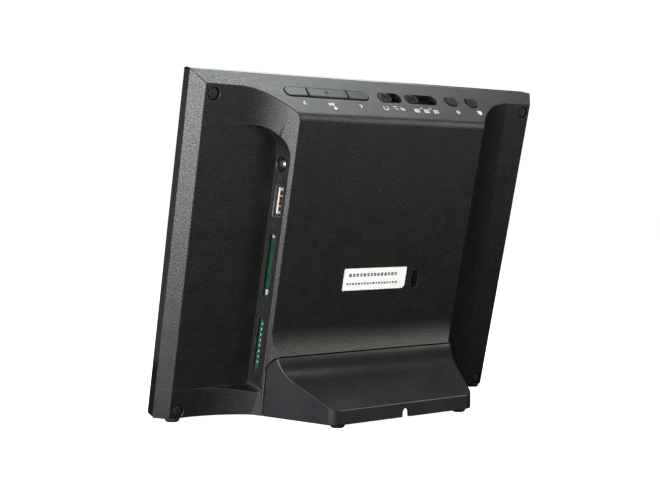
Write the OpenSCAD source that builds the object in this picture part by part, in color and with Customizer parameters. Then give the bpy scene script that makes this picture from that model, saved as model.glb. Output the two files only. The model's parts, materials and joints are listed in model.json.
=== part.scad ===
// Digital photo frame on a fixed rear stand, millimetres, +Z up.
// Origin: centre of the footprint, on the standing surface. +Y is the rear.
// Local body axes (after tilt): x = across, y = depth from the front face,
// z = height along the front face.

/* [Overall] */
// Width of the front face
frame_w = 185; // [170:1:240]
// Height of the front face, measured along its slope
frame_h = 150; // [148:1:190]
// Backward lean of the front face, degrees
lean = 13.8; // [8:0.2:18]
// Height of the lower front edge above the standing surface
front_gap = 2.75; // [2.6:0.05:3.2]
// Height of the flat underside, which is the height of the feet
under_z = 1.6; // [1.5:0.05:1.7]

/* [Front bezel] */
// Depth of the bezel moulding
bezel_t = 5; // [4.5:0.1:6]
// Thickness of the bezel face
bezel_face = 1.8; // [1.4:0.1:2.2]
// Width of the bezel beside the picture
bezel_side = 21.5; // [18.5:0.5:30]
// Width of the bezel above and below the picture
bezel_end = 21.5; // [20:0.5:30]
// Wall of the bezel's outer rim
rim = 2.4; // [1.8:0.1:2.8]

/* [Rear cover] */
// Wall thickness of the mouldings
wall = 2; // [1.6:0.1:2.2]
// Depth of the flat wings
wing_depth = 11.4; // [11:0.1:13]
// Inset of the side bevel between bezel and wing
side_bevel = 4.7; // [3:0.1:6]
// Angle of the top slope that carries the keys, degrees
top_slope = 35.8; // [32:0.2:38]
// Depth of the centre block
block_depth = 24; // [24:0.1:27]
// Half width of the centre block at its back face
block_half = 50; // [50:0.5:58]
// Width of the sweep from wing to block, at the top
flank_w = 25; // [24:0.5:28]
// Rounding of the top rear edge
top_round = 4.5; // [3:0.5:5]

/* [Port pocket] */
// Half width at which the port wall stands
port_wall = 51.1; // [51:0.1:51.2]
// Lower end of the pocket
pocket_bottom = 14.5; // [13:0.5:16]
// Distance of the pocket's upper end below the top edge
pocket_drop = 20.2; // [19:0.2:22]
// Radius of the pocket's upper corner
pocket_r = 12.5; // [8:0.5:14]
// Thickness of the port wall
port_skin = 1.3; // [1.2:0.1:1.6]
// Distance of the power inlet's centre below the top edge
dc_drop = 35.7; // [35:0.1:37]
// Diameter of the power inlet's opening
dc_d = 7.2; // [6.8:0.1:7.4]
// Distance of the memory-stick port's centre below the top edge
usb_drop = 51.3; // [50.8:0.1:52]
// Length of the memory-stick port's metal shell
usb_w = 13.2; // [12.8:0.1:13.4]
// Thickness of the memory-stick port's metal shell
usb_t = 5.8; // [5.4:0.1:6]
// Distance of the upper card slot's centre below the top edge
card_a_drop = 80.1; // [79:0.1:81]
// Length of the upper card slot
card_a_l = 28.2; // [26:0.1:29]
// Distance of the lower card slot's centre below the top edge
card_b_drop = 115.8; // [115:0.1:117]
// Length of the lower card slot
card_b_l = 23.8; // [22:0.1:24.5]

/* [Stand] */
// Overall depth from lower front edge to the rear of the stand
stand_y = 62.7; // [60:0.5:68]
// Half width of the stand at its rear
stand_half = 37.6; // [36:0.2:40]
// Height of the stand's rear edge
stand_edge_z = 8.1; // [7:0.1:9]
// Slope of the stand's top, degrees
stand_slope = 26.7; // [25:0.1:28]
// Radius of the sweep from back face to stand
stand_r = 19.5; // [18:0.5:21]
// Radius of the stand's rear corners
corner_r = 5; // [3:0.5:7]
// Height at which the shut line meets the sweep
seam_z = 28; // [26:0.5:30]
// Width of the shut line between cover and stand
seam = 0.35; // [0.2:0.05:0.5]

/* [Keys] */
// Distance of the key row from the top front edge, along the slope
key_row = 9.6; // [9.2:0.1:10]
// Width of the keys across the row
key_w = 5.1; // [4.6:0.1:5.4]
// Gap around a key
key_gap = 0.35; // [0.2:0.05:0.4]
// Height of a key above the slope
key_rise = 0.45; // [0.3:0.05:0.8]
// Travel of a key
key_travel = 0.6; // [0.4:0.05:0.7]
// Travel of the short slider
slide_a_travel = 5.0; // [4:0.1:5.2]
// Travel of the long slider
slide_b_travel = 10.4; // [9:0.1:10.6]

/* [Small parts] */
// Diameter of a screw plug
plug_d = 5.2; // [5:0.1:5.6]
// Largest diameter of a foot
foot_d = 6.8; // [6.2:0.1:7]
// Thickness of a circuit board
pcb_t = 1.6; // [1.2:0.1:1.8]
// Width of the lock slot
lock_w = 3.3; // [3:0.1:3.6]
// Height of the lock slot
lock_h = 8.2; // [7:0.1:8.5]
// Place of the lock slot across the back, from the centre
lock_u = -23.5; // [-25:0.5:-22.5]
// Height of the lock slot's centre
lock_v = 63.8; // [60:0.2:68]
// Width of the rating label
label_w = 34.3; // [30:0.1:36]
// Height of the rating label
label_h = 10.1; // [8:0.1:12]

/* [Hidden] */
$fn = 72;
big = 400;
half_w = frame_w / 2;
screen_w = frame_w - 2 * bezel_side;
screen_h = frame_h - 2 * bezel_end;
pocket_top = frame_h - pocket_drop;
dc_v = frame_h - dc_drop;
usb_v = frame_h - usb_drop;
card_a_v = frame_h - card_a_drop;
card_b_v = frame_h - card_b_drop;
slope_k = tan(top_slope);
cosl = cos(lean);
sinl = sin(lean);

// World side-view point [y, z] of the local point (depth n, height v)
function wp(n, v) = [n * cosl + v * sinl, front_gap - n * sinl + v * cosl];
// Height of the top slope at depth n
function top_v(n) = frame_h - slope_k * (n - bezel_t);

// Sweep from back face to stand: both tangent lines and the arc between them
back_dir = [-sinl, -cosl];
ramp_dir = [cos(stand_slope), -sin(stand_slope)];
ramp_end = [stand_y, stand_edge_z];
b0 = wp(block_depth, 0);
det = -sinl * ramp_dir[1] + cosl * ramp_dir[0];
corner_t = ((ramp_end[0] - b0[0]) * ramp_dir[1] - (ramp_end[1] - b0[1]) * ramp_dir[0]) / -det;
corner = [b0[0] + corner_t * sinl, b0[1] + corner_t * cosl];
turn = acos(back_dir[0] * ramp_dir[0] + back_dir[1] * ramp_dir[1]);
tan_len = stand_r * tan(turn / 2);
arc_a = [corner[0] - back_dir[0] * tan_len, corner[1] - back_dir[1] * tan_len];
arc_b = [corner[0] + ramp_dir[0] * tan_len, corner[1] + ramp_dir[1] * tan_len];
arc_c = [arc_a[0] + stand_r * cosl, arc_a[1] - stand_r * sinl];

// Shut line between cover and stand, seen from the side
seam_hi = [arc_c[0] - sqrt(pow(stand_r, 2) - pow(arc_c[1] - seam_z, 2)), seam_z];
seam_mid = [seam_hi[0] - 4.4, seam_hi[1] - 3.2];
seam_low = [seam_mid[0] - 1.3, seam_mid[1] - 2.6];
seam_lo = [seam_low[0] - 2.4, under_z];

// Sides of the stand, seen from above
side_y0 = 25.7;
side_x0 = block_half + 1.5;
side_k = (side_x0 - stand_half) / (stand_y - side_y0);

// Depth stations inside the body
lcd_n = bezel_face + 0.1;
lcd_t = 5.6;
board_n = 12.3;
board_back = board_n + pcb_t;
block_in = block_depth - wall;
wing_in = wing_depth - wall;
bay_half = port_wall - port_skin;
lip_in = block_half - 1.7;
slot_n = 16.2;
usb_n = 17.3;
usb_skin = 0.35;
dc_n = 16;

// Screws that join cover and bezel, and those that hold the main board
corner_posts = [[half_w - 8.5, frame_h - 8.7], [half_w - 8.3, 4.7]];
board_lo = 17;
board_hi = frame_h - 26;
board_posts = [[28, board_hi - 4], [-30, board_hi - 4], [-30, board_lo + 7], [12, board_lo + 33]];

// Places of the keys and sliders across the row, +X ends first
key_bar_l = 52.1;
key_bar_r = 9.8;
key_cut_a = 41.1;
key_cut_b = 20.7;
oval_l = 6.4;
oval_a = -37.3;
oval_b = -49.4;
slot_a_l = 4.3;
slot_a_r = -8.4;
slot_b_l = -10.6;
slot_b_r = -28.6;
knob_l = 6.9;
key_deck = -7.8;
tact_top = -5.2;
stem_end = tact_top + key_travel + 0.12;

module shift() translate([0, -stand_y / 2, 0]) children();
module tilt() shift() translate([0, 0, front_gap]) rotate([-lean, 0, 0]) children();
module on_slope() tilt() translate([0, bezel_t, frame_h]) rotate([-top_slope, 0, 0]) children();
// Side-view outline [y, z] swept across the full width
module across(w = big) shift() rotate([90, 0, 90]) translate([0, 0, -w / 2]) linear_extrude(w) children();
// Plan section [x, depth] swept along the front face's height
module along(a, b) tilt() translate([0, 0, a]) linear_extrude(b - a) children();
module both() { children(); mirror([1, 0, 0]) children(); }

// Bar with a round left or right end, centred
module stadium(l, w, left = true, right = true) {
  r = w / 2;
  translate([-l / 2 + (left ? r : 0), -r]) square([l - (left ? r : 0) - (right ? r : 0), w]);
  if (left) translate([-l / 2 + r, 0]) circle(r);
  if (right) translate([l / 2 - r, 0]) circle(r);
}

module round_rect(w, h, r) {
  square([w - 2 * r, h], center = true);
  square([w, h - 2 * r], center = true);
  for (x = [-1, 1], y = [-1, 1]) translate([x * (w / 2 - r), y * (h / 2 - r)]) circle(r);
}

// ---- outer form of cover and stand together ----

module side_outline() {
  difference() {
    polygon([
      wp(bezel_t, (under_z - front_gap + bezel_t * sinl) / cosl), wp(bezel_t, frame_h),
      wp(block_depth, top_v(block_depth)), arc_a, arc_b, ramp_end, [stand_y, under_z]
    ]);
    top_edge_waste();
    translate(arc_c) circle(stand_r, $fn = 144);
  }
}

// Waste outside the rounded edge between top slope and back face
module top_edge_waste() {
  half = (90 - top_slope) / 2;
  t = top_round * tan(half);
  p = [block_depth, top_v(block_depth)];
  c = wp(block_depth - top_round, p[1] - t);
  difference() {
    polygon([
      wp(p[0], p[1] - t), wp(p[0] + 1, p[1]), wp(p[0], p[1] + 1),
      wp(p[0] - t * cos(top_slope), p[1] + t * sin(top_slope))
    ]);
    translate(c) circle(top_round);
  }
}

// Radius of a sweep of width w that meets the block's rear edge
function sweep_r(w) = (pow(w, 2) + pow(block_depth - wing_depth, 2)) / (2 * (block_depth - wing_depth));

// Concave sweep between wing and block, wider toward the foot
module flank_sweep() {
  l = frame_h + 40;
  w = flank_w - 30 * tan(2.27);
  r_top = sweep_r(w);
  r_low = sweep_r(w + l * tan(2.27));
  a = atan((r_low - r_top) / l);
  tilt() difference() {
    translate([block_half - 8, wing_depth - 3, -20])
      cube([w + l * tan(2.27) + 8, block_depth - wing_depth + 11, l]);
    translate([block_half + w, wing_depth - 0.05, frame_h + 20]) rotate([0, -2.27, 0]) {
      translate([0, r_top * cos(a), 0]) rotate([a, 0, 0]) translate([0, 0, -l - 5])
        cylinder(r1 = r_low + 5 * tan(a), r2 = r_top, h = l + 5, $fn = 180);
      translate([-2, -0.05, -l - 5]) cube([20, 60, l + 10]);
    }
  }
}

module block_core() {
  x = block_half - 1;
  along(-30, frame_h + 20) polygon([
    [-x, 3], [-x, block_depth - 1], [-x + 5, block_depth + 8], [x - 5, block_depth + 8],
    [x, block_depth - 1], [x, 3]
  ]);
}

module stand_plan() {
  y1 = side_y0 - 4;
  x1 = side_x0 + side_k * 4;
  ang = atan(side_k);
  // centre of the rear corner: corner_r inside both the rear face and the side
  cy = stand_y - corner_r;
  cx = side_x0 - side_k * (cy - side_y0) - corner_r / cos(ang);
  tx = cx + corner_r * cos(ang);
  ty = cy + corner_r * sin(ang);
  polygon([[-x1, y1], [x1, y1], [tx, ty], [cx, cy], [cx, stand_y], [-cx, stand_y], [-cx, cy], [-tx, ty]]);
  for (s = [-1, 1]) translate([s * cx, cy]) circle(corner_r);
}

module body_form() {
  intersection() {
    across() side_outline();
    union() {
      along(-30, frame_h + 20) polygon([
        [-half_w, bezel_t - 5], [-half_w, bezel_t], [-half_w + side_bevel, wing_depth],
        [half_w - side_bevel, wing_depth], [half_w, bezel_t], [half_w, bezel_t - 5]
      ]);
      block_core();
      both() flank_sweep();
      shift() translate([0, 0, under_z - 1]) linear_extrude(seam_hi[1] + 0.6 - under_z) stand_plan();
    }
  }
}

// Side-view region behind the shut line; g moves its front edge back
module seam_region(g) {
  polygon([
    [seam_lo[0] + g, seam_lo[1] - 2], [seam_low[0] + g, seam_low[1]],
    [seam_mid[0] + g * 0.7, seam_mid[1] - g], [seam_hi[0] + 0.2, seam_hi[1] - g * 1.1],
    [seam_hi[0] + 6, seam_hi[1] - g * 1.1],
    [stand_y + 5, seam_hi[1] - 4], [stand_y + 5, -2]
  ]);
}

module front_bezel() {
  color([0.03, 0.03, 0.035]) {
    difference() {
      tilt() translate([0, 0, frame_h / 2]) rotate([-90, 0, 0]) linear_extrude(bezel_t)
        round_rect(frame_w, frame_h, 1.2);
      // cavity for the panel
      tilt() translate([-half_w + rim, bezel_face, rim]) cube([frame_w - 2 * rim, 20, frame_h - 2 * rim]);
      // picture opening with a sloped lip
      tilt() translate([-screen_w / 2, -1, bezel_end]) cube([screen_w, 10, screen_h]);
      for (s = [-1, 1]) {
        tilt() translate([s * screen_w / 2, 0, frame_h / 2]) rotate([0, 0, 45])
          cube([2, 2, screen_h + 2], center = true);
        tilt() translate([0, 0, frame_h / 2 + s * screen_h / 2]) rotate([45, 0, 0])
          cube([screen_w + 2, 2, 2], center = true);
      }
    }
    // screw posts and panel posts
    difference() {
      tilt() {
        for (b = corner_posts, s = [-1, 1]) translate([s * b[0], bezel_face - 0.3, b[1]]) rotate([-90, 0, 0])
          cylinder(r = 2.9, h = bezel_t - bezel_face + 0.3);
        for (s = [-1, 1], v = [frame_h / 2 - 40, frame_h / 2 + 40])
          translate([s * (screen_w / 2 + 11.5), bezel_face - 0.3, v]) rotate([-90, 0, 0])
            cylinder(r = 2.2, h = lcd_t + 0.3);
      }
      tilt() {
        for (b = corner_posts, s = [-1, 1]) translate([s * b[0], bezel_face, b[1]]) rotate([-90, 0, 0])
          cylinder(r = 1.3, h = 20);
        for (s = [-1, 1], v = [frame_h / 2 - 40, frame_h / 2 + 40])
          translate([s * (screen_w / 2 + 11.5), bezel_face + 0.6, v]) rotate([-90, 0, 0])
            cylinder(r = 0.95, h = 20);
      }
    }
  }
}

module lcd_slab(w, h, n0, t) {
  tilt() translate([-w / 2, n0, frame_h / 2 - h / 2]) cube([w, t, h]);
}

module lcd_glass() {
  color([0.08, 0.09, 0.11]) lcd_slab(screen_w + 8, screen_h + 7, lcd_n, 1.5);
}

module backlight() {
  color([0.92, 0.92, 0.9]) lcd_slab(screen_w + 12, screen_h + 9, lcd_n + 1.5, 3.1);
}

module lcd_frame() {
  // folded steel tray around glass and backlight, open to the front
  color([0.72, 0.73, 0.75]) difference() {
    lcd_slab(screen_w + 15, screen_h + 12, lcd_n, lcd_t - 0.1);
    lcd_slab(screen_w + 12.1, screen_h + 9.1, lcd_n - 1, 1 + 4.62);
    // stiffening recess and cable window in the tray's back
    lcd_slab(screen_w - 20, screen_h - 20, lcd_n + lcd_t - 0.5, 2);
    tilt() translate([-18, 0, 22]) cube([30, 20, 9]);
  }
}

module lcd_clips() {
  color([0.78, 0.79, 0.8]) for (s = [-1, 1], v = [frame_h / 2 - 40, frame_h / 2 + 40])
    difference() {
      tilt() translate([s * (screen_w / 2 + 8.5) - 5.5, lcd_n + lcd_t - 0.1, v - 3.5]) cube([11, 0.6, 7]);
      tilt() translate([s * (screen_w / 2 + 11.5), 0, v]) rotate([-90, 0, 0]) cylinder(r = 1.25, h = 20);
    }
}

module screw(r, h, head_r, head_h) {
  // head against -y, shank toward +y
  rotate([-90, 0, 0]) difference() {
    union() {
      translate([0, 0, -head_h]) cylinder(r = head_r, h = head_h, $fn = 36);
      cylinder(r = r, h = h, $fn = 36);
    }
    for (a = [0, 90]) rotate(a) translate([-head_r * 0.6, -0.25, -head_h - 1]) cube([head_r * 1.2, 0.5, 1.5]);
  }
}

module lcd_screws() {
  color([0.6, 0.6, 0.62]) for (s = [-1, 1], v = [frame_h / 2 - 40, frame_h / 2 + 40])
    tilt() translate([s * (screen_w / 2 + 11.5), lcd_n + lcd_t + 0.5, v]) rotate([0, 0, 180])
      screw(0.9, 4.2, 1.9, 0.9);
}

module key_holes() {
  on_slope() {
    translate([(key_bar_l + key_bar_r) / 2, key_row, -8]) linear_extrude(20)
      stadium(key_bar_l - key_bar_r + 2 * key_gap, key_w + 2 * key_gap);
    for (u = [oval_a, oval_b]) translate([u, key_row, -8]) linear_extrude(20)
      stadium(oval_l + 2 * key_gap, key_w + 2 * key_gap);
    for (u = [[slot_a_l, slot_a_r], [slot_b_l, slot_b_r]])
      translate([(u[0] + u[1]) / 2, key_row, -8]) linear_extrude(20)
        stadium(u[0] - u[1], key_w + 2 * key_gap);
  }
}

module pocket() {
  w = 60;
  h = pocket_top - pocket_bottom;
  difference() {
    tilt() translate([0, 40, 0]) rotate([90, 0, 0]) linear_extrude(38) {
      difference() {
        translate([port_wall, pocket_bottom]) square([w, h]);
        // upper corner
        difference() {
          translate([port_wall - 1, pocket_top - pocket_r]) square([pocket_r + 1, pocket_r + 1]);
          translate([port_wall + pocket_r, pocket_top - pocket_r]) circle(pocket_r, $fn = 120);
        }
        // lower corner
        difference() {
          translate([port_wall - 1, pocket_bottom - 1]) square([3, 3]);
          translate([port_wall + 2, pocket_bottom + 2]) circle(2);
        }
      }
    }
    // what stays below the pocket floor: bevel and wing, set in by a hair
    along(-30, frame_h + 30) polygon([
      [0, 0], [half_w - 0.06, 0], [half_w - 0.06, bezel_t],
      [half_w - side_bevel - 0.06, wing_depth - 0.06], [0, wing_depth - 0.06]
    ]);
  }
}

module port_cuts() {
  x0 = bay_half - 1;
  tilt() {
    translate([x0, dc_n, dc_v]) rotate([0, 90, 0]) cylinder(d = dc_d, h = 8);
    translate([x0, usb_n - usb_t / 2 - 0.3, usb_v - usb_w / 2 - 0.3]) cube([8, usb_t + 0.6, usb_w + 0.6]);
    translate([x0, slot_n - 2.25, card_a_v - card_a_l / 2]) cube([8, 4.5, card_a_l]);
    translate([x0, slot_n - 2.6, card_b_v - card_b_l / 2]) cube([8, 4.2, card_b_l]);
  }
}

module inner_form() {
  // hollow of the rear cover
  intersection() {
    across() polygon([
      wp(0, rim + 0.2), wp(0, frame_h - rim - 0.2),
      wp(bezel_t, frame_h - wall / cos(top_slope)),
      wp(block_in, top_v(block_in) - wall / cos(top_slope)),
      wp(block_in, 48), [seam_hi[0] - 2.4, seam_hi[1] + 2.4],
      [seam_mid[0] - wall, seam_mid[1] + 1.2], [seam_lo[0] - wall, under_z + wall],
      [wp(wing_depth, 0)[0] - 2, under_z + wall]
    ]);
    union() {
      along(-10, frame_h + 20) polygon([
        [-half_w + rim, 0], [-half_w + rim, bezel_t], [-half_w + side_bevel + wall, wing_in],
        [half_w - side_bevel - wall, wing_in], [half_w - rim, bezel_t], [half_w - rim, 0]
      ]);
      along(-10, frame_h + 20) polygon([
        [-bay_half - 16, wing_in - 1], [-bay_half - 16, wing_in], [-bay_half - 8, wing_in + 2.8],
        [-bay_half - 4, wing_in + 5.2], [-lip_in, wing_in + 8.4], [-lip_in, block_in],
        [bay_half - 1.5, block_in], [bay_half, dc_n + 4.7], [bay_half, wing_in - 1]
      ]);
      along(pocket_top + wall, frame_h + 20) polygon([
        [0, wing_in - 1], [0, wing_in + 8.4], [lip_in, wing_in + 8.4], [bay_half + 4, wing_in + 5.2],
        [bay_half + 8, wing_in + 2.8], [bay_half + 16, wing_in], [bay_half + 16, wing_in - 1]
      ]);
    }
  }
}

module rear_cover() {
  color([0.13, 0.13, 0.12]) difference() {
    union() {
      difference() {
        body_form();
        inner_form();
      }
      intersection() {
        body_form();
        tilt() {
          // corner screw towers
          for (b = corner_posts, s = [-1, 1]) translate([s * b[0], bezel_t, b[1]]) rotate([-90, 0, 0])
            cylinder(r = 4, h = wing_depth - bezel_t - 0.5);
          // board posts
          for (b = board_posts) translate([b[0], board_back, b[1]]) rotate([-90, 0, 0])
            cylinder(r = 3, h = block_in - board_back + 0.5);
        }
      }
      // bosses behind the shut line for the stand's screws
      shift() for (s = [-1, 1]) translate([s * fix_x, fix_y - 4.5, fix_z]) rotate([-90, 0, 0])
        cylinder(r = 3.4, h = 6);
    }
    across() seam_region(0);
    shift() for (s = [-1, 1]) translate([s * fix_x, fix_y - 6, fix_z]) rotate([-90, 0, 0])
      cylinder(r = 1.6, h = 12);
    pocket();
    port_cuts();
    key_holes();
    tilt() {
      for (b = corner_posts, s = [-1, 1]) translate([s * b[0], 0, b[1]]) rotate([-90, 0, 0]) {
        cylinder(r = 1.5, h = 20);
        translate([0, 0, bezel_t + 2.4]) cylinder(d = plug_d + 0.5, h = 20);
      }
      for (b = board_posts) translate([b[0], board_back - 1, b[1]]) rotate([-90, 0, 0])
        cylinder(r = 1, h = 6);
      // lock slot
      translate([lock_u - lock_w / 2, block_in - 1, lock_v - lock_h / 2]) cube([lock_w, 10, lock_h]);
    }
  }
}

module case_screws() {
  color([0.55, 0.55, 0.57]) tilt() for (b = corner_posts, s = [-1, 1])
    translate([s * b[0], bezel_t + 2.4, b[1]]) rotate([0, 0, 180]) screw(1.2, 4.8, 2.5, 1.6);
}

module screw_plugs() {
  color([0.1, 0.1, 0.1]) tilt() for (b = corner_posts, s = [-1, 1])
    translate([s * b[0], bezel_t + 4.0, b[1]]) rotate([-90, 0, 0]) {
      cylinder(d = plug_d, h = wing_depth - bezel_t - 4.0 - 1);
      cylinder(d = plug_d - 1.2, h = wing_depth - bezel_t - 4.0 - 0.25);
      cylinder(d = plug_d + 0.5, h = 0.8);
    }
}

module foot(h) {
  rotate_extrude() polygon([
    [0, 0], [foot_d / 2 - 1.1, 0], [foot_d / 2 - 0.6, 0.3], [foot_d / 2, h - 0.2], [foot_d / 2, h], [0, h]
  ]);
}

module front_feet() {
  y = wp(bezel_t, 0)[0] + foot_d / 2 + 0.4;
  color([0.06, 0.06, 0.06]) shift() for (s = [-1, 1])
    translate([s * (half_w - 7.6), y, 0]) foot(under_z);
}

module rear_feet() {
  color([0.06, 0.06, 0.06]) shift() for (s = [-1, 1])
    translate([s * (stand_half - 4.5), stand_y - foot_d / 2 - 1, 0]) foot(under_z);
}

// Half width of the stand's hollow at distance y from the front
function hollow_x(y) = side_x0 - side_k * (y - side_y0) - wall / cos(atan(side_k)) - 0.2;

// Plan of the stand's hollow, drawn in by g
module hollow_plan(g) {
  y0 = seam_lo[0] + 3 + g;
  y1 = stand_y - wall - 2 - g;
  y2 = stand_y - wall - g;
  polygon([
    [-hollow_x(y0) + g, y0], [hollow_x(y0) - g, y0], [hollow_x(y1) - g, y1], [hollow_x(y1) - 2 - g, y2],
    [-hollow_x(y1) + 2 + g, y2], [-hollow_x(y1) + g, y1]
  ]);
}

// Screws that hold the stand to the cover, and those of the plate
fix_x = 30;
fix_z = 14;
fix_y = seam_lo[0] + (seam_mid[0] - seam_lo[0]) * (fix_z - under_z) / (seam_mid[1] - under_z);
plate_t = 1.5;
plate_fix = [24, 42];

module stand_base() {
  color([0.17, 0.18, 0.19]) difference() {
    intersection() {
      body_form();
      across() seam_region(seam);
      shift() linear_extrude(60) stand_plan();
      union() {
        difference() {
          shift() translate([-big / 2, 0, -1]) cube([big, 200, 100]);
          // hollow, open below
          intersection() {
            across() polygon([
              [seam_lo[0] + 2, -2], [seam_mid[0] + 3.4, seam_mid[1] - 5],
              [arc_b[0] - 3, arc_b[1] + 1.2 - wall],
              [stand_y - wall, stand_edge_z - wall - 0.3], [stand_y - wall, -2]
            ]);
            shift() translate([0, 0, -2]) linear_extrude(60) hollow_plan(0);
          }
        }
        // screw posts
        shift() for (s = [-1, 1]) {
          translate([s * plate_fix[0], plate_fix[1], under_z + plate_t]) cylinder(r = 3.2, h = 30);
          translate([s * fix_x, fix_y, fix_z]) rotate([-90, 0, 0]) cylinder(r = 3.2, h = 8.5);
        }
      }
    }
    shift() for (s = [-1, 1]) {
      translate([s * plate_fix[0], plate_fix[1], 0]) cylinder(r = 1.3, h = 12.5);
      translate([s * fix_x, fix_y - 2, fix_z]) rotate([-90, 0, 0]) cylinder(r = 1.3, h = 9);
    }
    // cable notch in the rear wall
    shift() translate([0, stand_y - wall - 2, 0]) rotate([-90, 0, 0]) linear_extrude(wall + 6) {
      translate([0, -3.4]) circle(2);
      translate([-2, -3.4]) square([4, 4]);
    }
  }
}

module base_plate() {
  color([0.12, 0.12, 0.12]) difference() {
    shift() translate([0, 0, under_z]) linear_extrude(plate_t) hollow_plan(0.2);
    // cable bay behind the notch
    shift() translate([-18, stand_y - 23, 0]) cube([24, 40, 10]);
    shift() for (s = [-1, 1]) translate([s * plate_fix[0], plate_fix[1], 0]) cylinder(r = 1.5, h = 10);
  }
}

module plate_screws() {
  color([0.55, 0.55, 0.57]) shift() for (s = [-1, 1])
    translate([s * plate_fix[0], plate_fix[1], under_z]) rotate([90, 0, 0]) screw(1.25, 8, 2.4, 0.9);
}

module stand_screws() {
  color([0.55, 0.55, 0.57]) shift() for (s = [-1, 1])
    translate([s * fix_x, fix_y - 4.5, fix_z]) screw(1.25, 11, 2.6, 1.3);
}

module main_board() {
  color([0.05, 0.3, 0.16]) difference() {
    tilt() translate([-34, board_n, board_lo]) cube([34 + bay_half - 0.3, pcb_t, board_hi - board_lo]);
    // cut-out for the power inlet's body
    tilt() translate([bay_half - 14.2, board_n - 1, dc_v - 5.1]) cube([20, 5, 10.2]);
    tilt() for (b = board_posts) translate([b[0], board_n - 1, b[1]]) rotate([-90, 0, 0])
      cylinder(r = 1.4, h = 5);
  }
}

module board_screws() {
  color([0.6, 0.6, 0.62]) tilt() for (b = board_posts) translate([b[0], board_n, b[1]])
    screw(0.95, 6, 2.2, 1.1);
}

module board_chips() {
  color([0.07, 0.07, 0.08]) tilt() {
    for (c = [[-12, 32, 17, 17, 1.3], [-14, 58, 12, 20, 1.1], [5, 18, 9, 7, 1.5], [-20, 84, 8, 8, 1.0]])
      translate([c[0] - c[2] / 2, board_back, board_hi - c[1] - c[3] / 2]) cube([c[2], c[4], c[3]]);
  }
}

module board_caps() {
  color([0.75, 0.75, 0.77]) tilt() for (c = [[20, 16], [20, 26], [-26, 18]])
    translate([c[0], board_back, board_hi - c[1]]) rotate([-90, 0, 0]) {
      cylinder(r = 2.5, h = 5.4, $fn = 40);
      translate([-2.6, -2.6, 0]) cube([5.2, 5.2, 0.5]);
    }
}

module card_pads() {
  // tinned lands near the board's edge, seen through the card slots
  color([0.8, 0.84, 0.8]) tilt() {
    for (v = [card_a_v + card_a_l / 2 - 2.2, card_a_v - card_a_l / 2 + 0.6])
      translate([bay_half - 2.6, board_back, v]) cube([2.2, 0.12, 2.4]);
    for (v = [card_b_v - 9 : 2.5 : card_b_v + 9])
      translate([bay_half - 2.2, board_back, v]) cube([1.6, 0.1, 0.9]);
  }
}

module dc_jack() {
  color([0.09, 0.09, 0.1]) difference() {
    tilt() translate([bay_half - 14, dc_n - 4.4, dc_v - 4.8]) cube([13.9, 8.9, 9.6]);
    tilt() translate([bay_half - 10, dc_n, dc_v]) rotate([0, 90, 0]) cylinder(r = 3.15, h = 12);
  }
}

module dc_pin() {
  color([0.8, 0.8, 0.82]) tilt() translate([bay_half - 10, dc_n, dc_v]) rotate([0, 90, 0]) {
    difference() {
      union() {
        cylinder(r = 1.8, h = 10.3);
        translate([0, 0, 10.3]) cylinder(r1 = 1.8, r2 = 1.25, h = 0.6);
      }
      translate([0, 0, 4]) cylinder(r = 0.85, h = 8);
    }
    cylinder(r = 0.4, h = 9.8, $fn = 32);
  }
}

module usb_shell() {
  color([0.8, 0.8, 0.8]) difference() {
    tilt() translate([bay_half - 14, usb_n - usb_t / 2, usb_v - usb_w / 2]) cube([15.2, usb_t, usb_w]);
    tilt() translate([bay_half - 13, usb_n - usb_t / 2 + usb_skin, usb_v - usb_w / 2 + usb_skin])
      cube([20, usb_t - 2 * usb_skin, usb_w - 2 * usb_skin]);
  }
}

module usb_tongue() {
  color([0.93, 0.93, 0.92]) tilt() {
    translate([bay_half - 13, usb_n - usb_t / 2 + usb_skin, usb_v - usb_w / 2 + usb_skin])
      cube([2.5, usb_t - 2 * usb_skin, usb_w - 2 * usb_skin]);
    translate([bay_half - 10.6, usb_n - 1.55, usb_v - 5.6]) cube([11.3, 0.9, 11.2]);
  }
}

module usb_contacts() {
  color([0.85, 0.68, 0.3]) tilt() for (v = [-3.5, -1, 1, 3.5])
    translate([bay_half - 10.2, usb_n - 0.65, usb_v + v - 0.9]) cube([10.7, 0.35, 1.8]);
}

module card_socket(v, l, depth) {
  // pressed cover over the card bay, open toward the port wall
  difference() {
    tilt() translate([bay_half - depth, board_back, v - l / 2 - 1.4]) cube([depth - 2.9, 5.2, l + 2.8]);
    tilt() translate([bay_half - depth + 1.2, board_back - 1, v - l / 2]) cube([depth, 5.7, l]);
  }
}

module card_socket_a() {
  color([0.7, 0.71, 0.72]) card_socket(card_a_v, card_a_l, 28);
}

module card_socket_b() {
  color([0.7, 0.71, 0.72]) card_socket(card_b_v, card_b_l, 21);
}

module card_contacts() {
  color([0.85, 0.68, 0.3]) tilt() {
    for (i = [0 : 8]) translate([bay_half - 22, board_back, card_a_v - 10.2 + i * 2.5]) cube([8, 0.9, 1.1]);
    for (i = [0 : 9]) translate([bay_half - 16, board_back, card_b_v - 9 + i * 2]) cube([6, 0.9, 0.9]);
  }
}

// ---- keys ----

keys = [
  [(key_bar_l + key_cut_a) / 2 - 0.08, key_bar_l - key_cut_a - 0.16, false, true],
  [(key_cut_a + key_cut_b) / 2, key_cut_a - key_cut_b - 0.32, false, false],
  [(key_cut_b + key_bar_r) / 2 + 0.08, key_cut_b - key_bar_r - 0.16, true, false],
  [oval_a, oval_l, true, true],
  [oval_b, oval_l, true, true]
];
key_stem = [44.6, 31, 15.2, oval_a, oval_b];

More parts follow.
